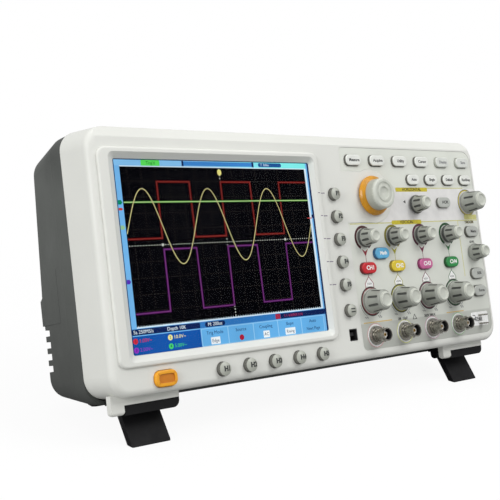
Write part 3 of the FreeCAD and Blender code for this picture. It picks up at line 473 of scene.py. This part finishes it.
# ---------------------------------------------------------------- thin printed and lit pieces
class Sheet:
    """Thin closed shapes of one material, gathered into one mesh and laid on a face of the panel frame."""

    def __init__(self, name, material, face, body="casing", proud=0.03, sunk=0.02, surface=None):
        self.name, self.material, self.body = name, material, body
        self.front, self.back = face - proud, face + sunk
        self.surface = surface
        self.bm = bmesh.new()

    def depth(self, x, y, z):
        return y + (self.surface(x, z) if self.surface else 0.0)

    def strip(self, left, right, closed=False):
        """A band between two equally long rows of (x, z) points."""
        rows = []
        for row in (left, right):
            for y in (self.front, self.back):
                rows.append([self.bm.verts.new((x, self.depth(x, y, z), z)) for x, z in row])
        left_front, left_back, right_front, right_back = rows
        count = len(left)
        for i in range(count if closed else count - 1):
            j = (i + 1) % count
            self.bm.faces.new((left_front[i], right_front[i], right_front[j], left_front[j]))
            self.bm.faces.new((left_back[i], left_back[j], right_back[j], right_back[i]))
            self.bm.faces.new((left_front[i], left_front[j], left_back[j], left_back[i]))
            self.bm.faces.new((right_front[i], right_back[i], right_back[j], right_front[j]))
        if not closed:
            for i in (0, -1):
                self.bm.faces.new((left_front[i], left_back[i], right_back[i], right_front[i]))

    def polygon(self, points):
        front = [self.bm.verts.new((x, self.depth(x, self.front, z), z)) for x, z in points]
        back = [self.bm.verts.new((x, self.depth(x, self.back, z), z)) for x, z in points]
        self.bm.faces.new(front)
        self.bm.faces.new(back[::-1])
        for i in range(len(points)):
            j = (i + 1) % len(points)
            self.bm.faces.new((front[i], back[i], back[j], front[j]))

    def rect(self, x0, x1, z0, z1, r=0.0):
        """A rectangle, with rounded corners if r is given."""
        if r <= 0.0:
            self.polygon([(x0, z0), (x1, z0), (x1, z1), (x0, z1)])
            return
        points = []
        corners = ((x1 - r, z0 + r, -90), (x1 - r, z1 - r, 0), (x0 + r, z1 - r, 90), (x0 + r, z0 + r, 180))
        for cx, cz, start in corners:
            for step in range(7):
                a = math.radians(start + 15 * step)
                points.append((cx + r * math.cos(a), cz + r * math.sin(a)))
        self.polygon(points)

    def arc(self, x, z, r, width, start=0.0, end=360.0, steps=48):
        """A ring, or a part of one, of the given middle radius and width."""
        whole = end - start >= 360.0
        count = steps if whole else steps + 1
        rows = []
        for radius in (r - width / 2, r + width / 2):
            row = []
            for i in range(count):
                a = math.radians(start + (end - start) * i / steps)
                row.append((x + radius * math.cos(a), z + radius * math.sin(a)))
            rows.append(row)
        self.strip(rows[0], rows[1], whole)

    def disc(self, x, z, r, steps=24):
        angles = [2 * math.pi * i / steps for i in range(steps)]
        self.polygon([(x + r * math.cos(a), z + r * math.sin(a)) for a in angles])

    def stroke(self, points, width):
        """A line of the given width through the points, with mitred corners."""
        left, right = [], []
        for i, point in enumerate(points):
            before = Vector(point) - Vector(points[max(i - 1, 0)])
            after = Vector(points[min(i + 1, len(points) - 1)]) - Vector(point)
            before = before.normalized() if before.length else after.normalized()
            after = after.normalized() if after.length else before
            along = (before + after).normalized()
            across = Vector((-along.y, along.x))
            reach = width / 2 / max(0.35, across.dot(Vector((-after.y, after.x))))
            left.append(tuple(Vector(point) + across * reach))
            right.append(tuple(Vector(point) - across * reach))
        self.strip(left, right)

    def text(self, words, x, z, height, align="CENTER", bold=0.0):
        """Words whose capitals are about height tall, centred on z, thickened by bold."""
        curve = bpy.data.curves.new("words", "FONT")
        curve.body = words
        curve.size = height / 0.72
        curve.align_x = align
        curve.align_y = "CENTER"
        curve.extrude = (self.back - self.front) / 2
        curve.resolution_u = 3
        curve.offset = bold
        holder = bpy.data.objects.new("words", curve)
        bpy.context.scene.collection.objects.link(holder)
        bpy.context.view_layer.update()
        mesh = bpy.data.meshes.new_from_object(holder.evaluated_get(bpy.context.evaluated_depsgraph_get()))
        middle = (self.front + self.back) / 2
        for v in mesh.vertices:
            px, pz, out = x + v.co.x, z + v.co.y, v.co.z
            v.co = (px, self.depth(px, middle - out, pz), pz)
        self.bm.from_mesh(mesh)
        bpy.data.meshes.remove(mesh)
        bpy.data.objects.remove(holder)
        bpy.data.curves.remove(curve)

    def done(self):
        """Closes the mesh, moves it to the row frame and sets it on its body."""
        bmesh.ops.remove_doubles(self.bm, verts=self.bm.verts, dist=1e-4)
        bmesh.ops.recalc_face_normals(self.bm, faces=self.bm.faces)
        mesh = bpy.data.meshes.new(self.name)
        self.bm.to_mesh(mesh)
        self.bm.free()
        mesh.transform(PANEL)
        mesh.materials.append(self.material)
        piece = bpy.data.objects.new(self.name, mesh)
        bpy.context.scene.collection.objects.link(piece)
        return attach(piece, self.body)


# ---------------------------------------------------------------- the screen picture
LAYER_STEP, LAYER_BACK = 0.045, 3.17


def screen_sheet(name, colour, layer):
    """A lit sheet; a higher layer lies nearer the viewer, all of them behind the cover glass."""
    face = LAYER_BACK - LAYER_STEP * layer
    material = light_ink("lit_" + name, colour) if colour else None
    return Sheet("screen_" + name, material, face, proud=0.02, sunk=0.012)


def at(u, v):
    """A place on the screen, u from the left and v down from the top."""
    return SCREEN_LEFT + u, SCREEN_TOP - v


def block(sheet, u0, u1, v0, v1, r=0.0):
    x0, z1 = at(u0, v0)
    x1, z0 = at(u1, v1)
    sheet.rect(x0, x1, z0, z1, r)


def words(sheet, text, u, v, height, align="LEFT"):
    x, z = at(u, v)
    sheet.text(text, x, z, height, align)


def screen_background():
    pale = screen_sheet("pale_blue", (116, 182, 236), 0)
    block(pale, 0.0, SCREEN_W, 0.0, SCREEN_H)
    pale.done()
    top = screen_sheet("top_bar", None, 1)
    top.material = graded_ink("lit_top_bar", (132, 192, 238), (128, 236, 234), -100.0, -30.0)
    block(top, 0.4, 160.0, 0.5, 4.3)
    top.done()
    mid = screen_sheet("info_row", (52, 120, 190), 1)
    block(mid, 0.4, 161.5, 106.3, 110.3)
    mid.done()
    deep = screen_sheet("readout_block", (24, 84, 166), 1)
    block(deep, 0.4, 51.2, 110.9, SCREEN_H)
    deep.done()
    navy = screen_sheet("navy", (18, 36, 84), 2)
    block(navy, 0.0, 0.5, 0.0, SCREEN_H)
    block(navy, 0.0, SCREEN_W, 0.0, 0.5)
    block(navy, 161.5, SCREEN_W, 0.0, SCREEN_H)
    block(navy, 0.5, 51.4, 106.6, 110.2, 0.8)
    block(navy, 55.3, 71.6, 106.8, 110.0, 1.6)
    block(navy, 119.6, 161.4, 106.6, 110.1)
    block(navy, 51.5, 53.0, 0.6, 4.0)
    block(navy, 110.2, 111.9, 0.6, 4.0)
    navy.disc(*at(161.4, 39.2), 1.3)
    navy.done()
    plot = screen_sheet("plot_black", (4, 4, 7), 1)
    block(plot, PLOT_LEFT, PLOT_RIGHT, PLOT_TOP, PLOT_BOTTOM)
    plot.done()
    rim = screen_sheet("white_rim", (216, 234, 248), 2)
    block(rim, 158.5, 160.2, 4.3, 106.1)
    block(rim, PLOT_LEFT, 158.9, 4.3, 4.9)
    block(rim, PLOT_LEFT, 158.9, 105.3, 106.1)
    for i in range(-37, 38):
        u = PLOT_MIDDLE_U + DIVISION / 5 * i
        block(rim, u - 0.2, u + 0.2, 104.6, 105.35)
    rim.done()


def graticule():
    dot = DIVISION / 5
    faint = screen_sheet("graticule", (58, 52, 48), 2)
    for i in range(-7, 8):
        u = PLOT_MIDDLE_U + DIVISION * i
        for j in range(-24, 25):
            if i:
                block(faint, u - 0.2, u + 0.2, PLOT_MIDDLE_V + dot * j - 0.4, PLOT_MIDDLE_V + dot * j + 0.4)
    for i in range(-4, 5):
        v = PLOT_MIDDLE_V + DIVISION * i
        for j in range(-37, 38):
            if i and j % 5:
                block(faint, PLOT_MIDDLE_U + dot * j - 0.4, PLOT_MIDDLE_U + dot * j + 0.4, v - 0.2, v + 0.2)
    faint.done()
    axes = screen_sheet("axes", (196, 198, 190), 3)
    for j in range(-24, 25):
        v = PLOT_MIDDLE_V + dot * j
        block(axes, PLOT_MIDDLE_U - 0.35, PLOT_MIDDLE_U + 0.35, v - 0.45, v + 0.45)
    for j in range(-37, 38):
        u = PLOT_MIDDLE_U + dot * j
        if j:
            block(axes, u - 0.4, u + 0.4, PLOT_MIDDLE_V - 0.25, PLOT_MIDDLE_V + 0.25)
    for i in (-5, 5):
        axes.disc(*at(PLOT_MIDDLE_U + DIVISION * i, PLOT_MIDDLE_V), 0.95)
    axes.done()


def trace(name, points_uv, core, core_width, halo, halo_width, layer):
    """A bright line on its dimmer glow."""
    glow = screen_sheet("glow_" + name, halo, layer)
    glow.stroke([at(u, v) for u, v in points_uv], halo_width)
    glow.done()
    line = screen_sheet("trace_" + name, core, layer + 1)
    line.stroke([at(u, v) for u, v in points_uv], core_width)
    line.done()


def square_wave(low, high, rises, falls):
    """A square trace across the plot, starting low."""
    steps = sorted([(u, high, low) for u in rises] + [(u, low, high) for u in falls])
    points = [(PLOT_LEFT + 0.3, low)]
    for u, after, before in steps:
        points += [(u - 0.15, before), (u + 0.15, after)]
    return points + [(PLOT_RIGHT - 0.1, points[-1][1])]


def traces():
    period, first_peak, middle, swing = 51.0, 18.7, 43.45, 24.45
    sine = []
    for i in range(154):
        u = PLOT_LEFT + 0.3 + (PLOT_RIGHT - PLOT_LEFT - 0.4) * i / 153
        sine.append((u, middle - swing * math.cos(2 * math.pi * (u - first_peak) / period)))
    rises, falls = (30.3, 81.2, 132.3), (55.8, 106.6)
    level = [(PLOT_LEFT + 0.3, 27.6), (PLOT_RIGHT - 0.1, 27.6)]
    trace("purple", square_wave(97.4, 58.1, rises, falls), (112, 52, 120), 0.7, (58, 14, 66), 1.6, 4)
    trace("red", square_wave(50.9, 14.5, rises, falls), (128, 42, 38), 0.7, (74, 13, 12), 1.6, 5)
    trace("green", level, (178, 216, 138), 0.6, (34, 88, 28), 1.4, 6)
    trace("yellow", sine, (222, 212, 150), 0.42, (84, 78, 42), 0.8, 7)


def markers():
    tags = (("green", (0, 132, 96), 27.6, 1.4), ("red", (196, 62, 52), 31.9, 0.8),
            ("pale", (150, 196, 150), 43.4, 1.3), ("violet", (88, 52, 182), 77.2, 1.4))
    for name, colour, v, half in tags:
        tag = screen_sheet("marker_" + name, colour, 8)
        tag.polygon([at(0.5, v - half), at(2.6, v - half), at(3.7, v), at(2.6, v + half), at(0.5, v + half)])
        tag.done()
    trigger = screen_sheet("marker_trigger", (236, 226, 132), 9)
    oval = [(1.75 * math.cos(math.pi * i / 10), 2.1 * math.sin(math.pi * i / 10)) for i in range(20)]
    trigger.polygon([at(PLOT_MIDDLE_U + across, 8.0 + down) for across, down in oval])
    trigger.done()
    level = screen_sheet("marker_level", (196, 62, 60), 3)
    block(level, 156.0, 160.4, 40.2, 40.9)
    level.done()


def top_bar():
    green = screen_sheet("state_label", (92, 222, 92), 2)
    block(green, 20.2, 34.4, 0.5, 4.2, 0.8)
    green.done()
    memory = screen_sheet("memory_bar", (62, 132, 204), 2)
    block(memory, 53.0, 110.2, 0.9, 3.7)
    memory.done()
    pill = screen_sheet("time_pill", (34, 84, 146), 2)
    block(pill, 116.0, 137.0, 0.9, 3.7, 1.3)
    pill.done()
    text = screen_sheet("top_text", (222, 240, 252), 3)
    words(text, "T  0.0ns", 118.0, 2.3, 1.7)
    text.done()
    state = screen_sheet("state_text", (18, 96, 40), 3)
    words(state, "Trig'd", 27.4, 2.4, 2.1, "CENTER")
    state.done()


def channel_readouts():
    rows = ((2.3, 113.8, "red", (206, 48, 66), "1", "1.00V~"),
            (27.7, 113.8, "yellow", (232, 226, 150), "2", "10.0V~"),
            (2.3, 119.3, "violet", (146, 56, 196), "3", "2.00V~"),
            (27.7, 119.3, "green", (70, 206, 110), "4", "5.00V~"))
    for u, v, name, colour, number, value in rows:
        sheet = screen_sheet("readout_" + name, colour, 2)
        sheet.disc(*at(u, v), 1.8)
        words(sheet, value, u + 2.6, v, 2.3)
        sheet.done()
        digit = screen_sheet("readout_digit_" + name, (14, 30, 78), 3)
        words(digit, number, u, v, 1.8, "CENTER")
        digit.done()


def status_rows():
    text = screen_sheet("status_text", (226, 240, 250), 3)
    words(text, "Sa 250MS/s", 1.4, 108.4, 2.3)
    words(text, "Depth 10K", 26.0, 108.4, 2.3)
    words(text, "M: 200us", 63.4, 108.4, 2.3, "CENTER")
    text.done()
    alarm = screen_sheet("frequency_text", (166, 44, 74), 3)
    block(alarm, 115.0, 119.4, 106.5, 110.1, 0.6)
    words(alarm, "f = 4.00000 kHz", 123.0, 108.4, 1.9)
    alarm.done()
    names = ("Trig Mode", "Source", "Coupling", "Slope", "Auto")
    values = ("Edge", "", "AC", "Rising", "Next Page")
    field_halves = (3.7, 0.0, 2.7, 4.6, 0.0)
    boxes = screen_sheet("menu_boxes", (104, 178, 234), 2)
    gaps = screen_sheet("menu_gaps", (150, 206, 246), 1)
    fields = screen_sheet("menu_fields", (238, 244, 250), 3)
    dark = screen_sheet("menu_words", (14, 46, 96), 4)
    left, pitch = 51.7, 21.5
    block(gaps, left, 159.4, 110.8, SCREEN_H)
    for i in range(5):
        u, middle = left + pitch * i, left + pitch * (i + 0.5)
        block(boxes, u + 0.4, u + pitch - 0.3, 111.2, 121.9, 0.6)
        words(dark, names[i], middle, 114.0, 2.3, "CENTER")
        words(dark, values[i], middle, 119.3, 2.2, "CENTER")
        if field_halves[i]:
            block(fields, middle - field_halves[i], middle + field_halves[i], 116.9, 121.5, 0.4)
    for sheet in (boxes, gaps, fields, dark):
        sheet.done()
    dot = screen_sheet("menu_dot", (176, 30, 58), 5)
    dot.disc(*at(left + pitch * 1.5, 119.3), 1.9)
    dot.done()


def screen_picture():
    screen_background()
    graticule()
    traces()
    markers()
    top_bar()
    channel_readouts()
    status_rows()


# ---------------------------------------------------------------- printing on the control sheet
def printed(name, material, proud=0.03):
    """A layer of print on the control sheet; later layers stand a little prouder."""
    return Sheet("print_" + name, material, SHEET_FACE, proud=proud)


def panel_areas():
    lilac = printed("lilac_area", INK_LILAC)
    x, z, r = MULTI_KNOB_AT.x, MULTI_KNOB_AT.z, 21.4
    left = [(x + r * math.cos(math.radians(a)), z + r * math.sin(math.radians(a))) for a in range(-70, 12, 8)]
    lilac.polygon(left + [(80.0, 127.4), (179.6, 127.4), (179.6, 101.2), (62.0, 101.2)])
    lilac.done()


def section_lines():
    yellow = printed("section_lines", INK_YELLOW_SOFT, 0.05)
    yellow.rect(121.0, 166.0, 127.6, 128.2)
    yellow.rect(29.0, 179.6, 100.4, 101.1)
    yellow.rect(153.6, 154.2, 54.4, 100.2)
    yellow.rect(163.0, 179.2, 101.4, 105.4, 0.8)
    yellow.done()
    orange = printed("input_lines", INK_ORANGE, 0.05)
    orange.rect(30.0, 60.5, 26.1, 26.9)
    orange.rect(124.5, 146.0, 26.1, 26.9)
    orange.done()
    blocks = printed("section_blocks", INK_YELLOW, 0.07)
    blocks.rect(83.5, 121.0, 125.1, 128.4, 1.0)
    blocks.rect(74.4, 108.8, 99.2, 102.5, 1.0)
    blocks.done()
    words_on = printed("section_words", INK_OLIVE, 0.09)
    words_on.text("HORIZONTAL", 102.3, 126.8, 2.5, bold=0.1)
    words_on.text("VERTICAL", 91.6, 100.9, 2.5, bold=0.1)
    words_on.text("TRIGGER", 168.6, 99.0, 2.1, bold=0.1)
    words_on.done()


def knob_prints():
    dark = printed("dark_rings", INK_DARK, 0.04)
    # Dark rings round the scale knobs: partly print, partly painted shadow of the knobs.
    for x in CHANNELS:
        dark.arc(x, SCALE_Z, 10.6, 0.9)
    dark.arc(RIGHT_COLUMN, SEC_DIV_Z, 10.9, 0.5)
    dark.text("LEVEL", RIGHT_COLUMN, LEVEL_Z + 9.0, 1.8, bold=0.08)
    dark.text("PROBE", 162.6, 17.6, 2.7, bold=0.14)
    dark.polygon([(90.6, 117.0), (93.2, 118.4), (93.2, 115.6)])
    dark.polygon([(114.4, 117.0), (111.8, 118.4), (111.8, 115.6)])
    dark.done()
    gold = printed("time_ring", INK_YELLOW, 0.04)
    gold.arc(RIGHT_COLUMN, SEC_DIV_Z, 10.2, 0.8)
    gold.done()
    grey = printed("grey_marks", INK_GREY, 0.04)
    for x in CHANNELS:
        grey.arc(x, SCALE_Z, 12.2, 0.4, 188.0, 238.0, 12)
        grey.arc(x, SCALE_Z, 12.2, 0.4, 302.0, 352.0, 12)
        small_wave(grey, x - 7.2, 30.4, 0.6)
        small_wave(grey, x + 7.0, 30.2, 1.1)
    grey.done()


def small_wave(sheet, x, z, swing):
    points = [(x - 1.8 + 0.3 * i, z + swing * math.sin(math.pi * i / 3)) for i in range(13)]
    sheet.stroke(points, 0.4)


def channel_prints():
    for name, x in zip(CHANNEL_NAMES, CHANNELS):
        ring = printed(f"{name}_marks", INK_CHANNEL[name], 0.05)
        ring.arc(x, SCALE_Z, 9.9, 0.6)
        ring.polygon([(x - 3.2, 81.6), (x, 76.0), (x + 3.2, 81.6), (x, 79.6)])
        ring.rect(x - 0.2, x + 0.2, 71.2, 76.4)
        ring.stroke([(x - 4.3, 50.6), (x - 4.3, 55.6), (x, 60.6), (x + 4.3, 55.6), (x + 4.3, 50.6)], 0.5)
        ring.rect(x - 0.2, x + 0.2, 60.6, 62.8)
        ring.done()
        deep = printed(f"{name}_position_ring", INK_CHANNEL_DEEP[name], 0.05)
        deep.arc(x, POSITION_Z, 8.4, 1.8, -62.0, 242.0)
        deep.done()
        soft = printed(f"{name}_input_ring", INK_CHANNEL_SOFT[name], 0.05)
        soft.arc(x, BNC_Z, 8.75, 0.5)
        soft.done()
    white = printed("white_marks", INK_WHITE, 0.035)
    for x in CHANNELS:
        white.polygon([(x - 4.1, 53.5), (x - 4.1, 55.6), (x, 60.3), (x + 4.1, 55.6), (x + 4.1, 53.5)])
        white.arc(x, BNC_Z, 7.9, 1.2)
    white.rect(154.5, 176.0, 12.8, 24.0, 1.6)
    white.done()
    tiny = printed("small_words", INK_DARK, 0.06)
    for x in CHANNELS:
        tiny.text("V/DIV", x, 55.2, 1.5)
    tiny.text("1M  15pF", 72.4, 26.4, 2.1, bold=0.08)
    tiny.text("300V MAX", 104.0, 26.4, 2.1, bold=0.08)
    tiny.stroke([(84.0, 25.0), (88.4, 25.0), (86.2, 28.6), (84.0, 25.0)], 0.5)
    tiny.stroke([(156.4, 21.4), (159.4, 21.4), (159.4, 19.6), (162.4, 19.6)], 0.6)
    tiny.done()


def shell_prints():
    """Leader lines from the screen's edge towards the side keys, on the raised frame and beside it."""
    for name, face, x0, x1 in (("frame", FRAME_FACE, -1.2, 0.6), ("shell", SHELL_FACE, 2.8, 7.0)):
        lines = Sheet(f"print_leader_lines_{name}", INK_PURPLE, face)
        for z in SIDE_KEY_ZS:
            lines.rect(x0, x1, z + LEADER_LIFT - 0.3, z + LEADER_LIFT + 0.3)
        lines.done()


# ---------------------------------------------------------------- legends on the keys
def dome(x, z):
    """How far the round key's crown has fallen back from its top at x, z from its centre."""
    ball = (ROUND_KEY_R ** 2 + ROUND_KEY_RISE ** 2) / (2 * ROUND_KEY_RISE)
    return ball - math.sqrt(max(0.0, ball * ball - x * x - z * z))


def legend(node, text, material, height, shift=1.0, bold=0.12):
    x, z, out = crown(node)
    sheet = Sheet(node + "_legend", material, -out, body=node, proud=0.02, sunk=0.02)
    sheet.text(text, x + shift, z, height, bold=bold)
    sheet.done()


def round_legend(node, text):
    """Words that follow the dome of a round key, or two short bars if there are none."""
    x, z, out = crown(node)
    fall = lambda px, pz: dome(px - x, pz - z)
    sheet = Sheet(node + "_legend", INK_DARK, -out, body=node, proud=0.22, sunk=0.14, surface=fall)
    if text:
        sheet.text(text, x + 0.9, z, 3.2, bold=0.2)
    else:
        for dz in (-1.1, 1.1):
            row = [(x - 1.8 + 0.6 * i, z + dz) for i in range(8)]
            sheet.stroke(row, 0.8)
    sheet.done()


def key_legends():
    menu = ("Measure", "Acquire", "Utility", "Cursor", "Display", "Save")
    for i, word in enumerate(menu):
        legend(f"menu_key_{i + 1}", word, INK_DARK if i < 4 else INK_GREY, 2.3, 0.6)
    for i, word in enumerate(("Auto", "Single", "Default", "Run/Stop")):
        legend(f"run_key_{i + 1}", word, INK_DARK, 2.1, 0.5)
    legend("horizontal_menu_key", "HOR", INK_DARK, 2.5)
    for name, word in (("menu", "Menu"), ("half", "50%"), ("force", "Force")):
        legend(f"trigger_{name}_key", word, INK_DARK, 2.3)
    for i in range(CHANNEL_COUNT):
        legend(f"channel_{i + 1}_key", f"CH{i + 1}", INK_WHITE, 3.2, 0.8, 0.16)
    legend("math_key", "Math", INK_WHITE, 2.7, 0.8, 0.14)
    for i in range(5):
        round_legend(f"side_key_{i + 1}", f"F{i + 1}")
        round_legend(f"bottom_key_{i + 1}", f"H{i + 1}")
    round_legend("copy_key", "")


# ---------------------------------------------------------------- floor, light and camera
SKY_LIGHT, KEY_POWER, TOP_POWER, FILL_POWER = 0.52, 14.0, 6.5, 19.5
FLOOR_BOUNCE, FLOOR_GLOW = 0.35, 0.93


def floor_material():
    """Pale floor that fades to plain white away from the object."""
    g = Graph("floor_pale")
    matt = g.add("ShaderNodeBsdfDiffuse")
    seen = g.add("ShaderNodeLightPath")
    tone = g.add("ShaderNodeMix", data_type="RGBA")
    a, b = rgba(tone.inputs)
    a.default_value = (FLOOR_BOUNCE, FLOOR_BOUNCE, FLOOR_BOUNCE, 1.0)
    g.link(seen.outputs["Is Camera Ray"], tone.inputs["Factor"])
    g.link(g.mottled((250, 250, 250), 0.003, 200.0), b)
    g.link(rgba(tone.outputs)[0], matt.inputs["Color"])
    white = g.add("ShaderNodeEmission", Strength=1.0)
    place = g.add("ShaderNodeTexCoord")
    reach = g.add("ShaderNodeVectorMath", operation="LENGTH")
    g.link(place.outputs["Object"], reach.inputs[0])
    fade = g.add("ShaderNodeMapRange", From_Min=0.2, From_Max=0.75, To_Min=FLOOR_GLOW, To_Max=1.0)
    fade.interpolation_type = "SMOOTHSTEP"
    g.link(reach.outputs["Value"], fade.inputs["Value"])
    lit = g.add("ShaderNodeMath", operation="MULTIPLY")
    g.link(fade.outputs["Result"], lit.inputs[0])
    g.link(seen.outputs["Is Camera Ray"], lit.inputs[1])
    mix = g.add("ShaderNodeMixShader")
    g.link(lit.outputs["Value"], mix.inputs["Fac"])
    g.link(matt.outputs["BSDF"], mix.inputs[1])
    g.link(white.outputs["Emission"], mix.inputs[2])
    g.link(mix.outputs["Shader"], g.output.inputs["Surface"])
    return g.material


def stage_floor():
    bm = bmesh.new()
    half = 6.0
    square = ((-half, -half), (half, -half), (half, half), (-half, half))
    corners = [bm.verts.new((x, y, 0.0)) for x, y in square]
    bm.faces.new(corners)
    mesh = bpy.data.meshes.new("floor")
    bm.to_mesh(mesh)
    bm.free()
    mesh.materials.append(floor_material())
    floor = bpy.data.objects.new("floor", mesh)
    bpy.context.scene.collection.objects.link(floor)


def area_light(name, place, target, size, power):
    data = bpy.data.lights.new(name, "AREA")
    data.shape = "DISK"
    data.size = size
    data.energy = power
    lamp = bpy.data.objects.new(name, data)
    lamp.location = place
    lamp.rotation_euler = (Vector(target) - Vector(place)).to_track_quat("-Z", "Y").to_euler()
    bpy.context.scene.collection.objects.link(lamp)


def sky():
    """White behind the object, softer as a light on it."""
    world = bpy.data.worlds.new("studio")
    world.use_nodes = True
    tree = world.node_tree
    background = tree.nodes["Background"]
    background.inputs["Color"].default_value = (1.0, 1.0, 1.0, 1.0)
    seen = tree.nodes.new("ShaderNodeLightPath")
    power = tree.nodes.new("ShaderNodeMapRange")
    power.inputs["To Min"].default_value = SKY_LIGHT
    power.inputs["To Max"].default_value = 1.0
    tree.links.new(seen.outputs["Is Camera Ray"], power.inputs["Value"])
    tree.links.new(power.outputs["Result"], background.inputs["Strength"])
    bpy.context.scene.world = world


def studio():
    stage_floor()
    sky()
    centre = (0.0, 0.0, 0.1)
    area_light("key_light", (0.7, -1.1, 1.5), centre, 1.1, KEY_POWER)
    area_light("top_light", (0.0, 0.1, 1.8), centre, 1.6, TOP_POWER)
    area_light("fill_light", (-1.9, -0.4, 0.8), centre, 1.2, FILL_POWER)
    bpy.context.scene.view_settings.view_transform = "Standard"


LENS_MM, SHIFT_X, SHIFT_Y = 67.637, -0.024156, 0.0042


def viewpoint():
    """The camera, given in the panel frame as its place, its view line and its upright."""
    place = Vector((-465.506, -492.857, 32.200))
    forward = Vector((0.634708, 0.768599, 0.080004))
    upright = Vector((0.042856, -0.138383, 0.989451))
    turn = PANEL.to_3x3() * (1.0 / MM)
    forward, upright = (turn @ forward).normalized(), (turn @ upright).normalized()
    right = forward.cross(upright).normalized()
    upright = right.cross(forward)
    data = bpy.data.cameras.new("camera")
    data.sensor_width = 36.0
    data.lens = LENS_MM
    data.shift_x, data.shift_y = SHIFT_X, SHIFT_Y
    camera = bpy.data.objects.new("camera", data)
    axes = Matrix((right, upright, -forward)).transposed().to_4x4()
    camera.matrix_world = Matrix.Translation(PANEL @ place) @ axes
    bpy.context.scene.collection.objects.link(camera)
    bpy.context.scene.camera = camera


dress_cad()
screen_picture()
panel_areas()
section_lines()
knob_prints()
channel_prints()
shell_prints()
key_legends()
studio()
viewpoint()
